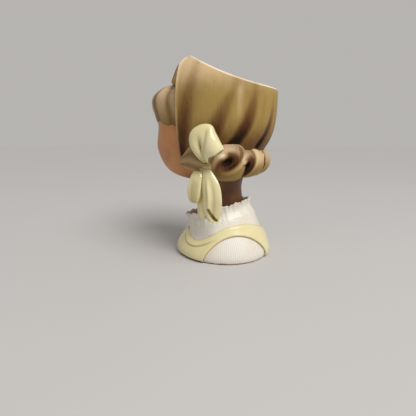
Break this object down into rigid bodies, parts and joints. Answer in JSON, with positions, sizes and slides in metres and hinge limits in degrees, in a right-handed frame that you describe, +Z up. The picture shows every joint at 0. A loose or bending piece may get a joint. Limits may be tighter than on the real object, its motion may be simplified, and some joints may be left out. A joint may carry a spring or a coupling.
{
  "type": "head planter",
  "caption": "Ceramic planter shaped as a girl's head and shoulders, open at the crown for a plant, with a ribbon bow at the side, rolled nape curls, a frilled collar and a raised jumper.",
  "frame": {"origin": "middle of the underside of the bust", "axes": "+Z up, the face looks along -Y, the bow is on the +X side"},
  "size_m": [0.0896, 0.1002, 0.151],
  "materials": {
    "hair_colour": "satin",
    "skin_colour": "satin",
    "white_glaze": "gloss",
    "yellow_glaze": "gloss"
  },
  "bodies": {
    "root": {"bust_casting": "white_glaze", "jumper": "yellow_glaze", "collar_frill": "white_glaze", "head_casting": "skin_colour", "hair_casting": "hair_colour", "fringe_roll": "hair_colour", "side_lock_left": "hair_colour", "side_lock_right": "hair_colour", "nape_curl_left": "hair_colour", "nape_curl_left_rear": "hair_colour", "nape_curl_back": "hair_colour", "nape_curl_right_rear": "hair_colour", "nape_curl_right": "hair_colour", "bow_knot": "yellow_glaze", "bow_upper_loop": "yellow_glaze", "bow_lower_loop": "yellow_glaze", "bow_front_tail": "yellow_glaze", "bow_rear_tail": "yellow_glaze"}
  },
  "joints": []
}
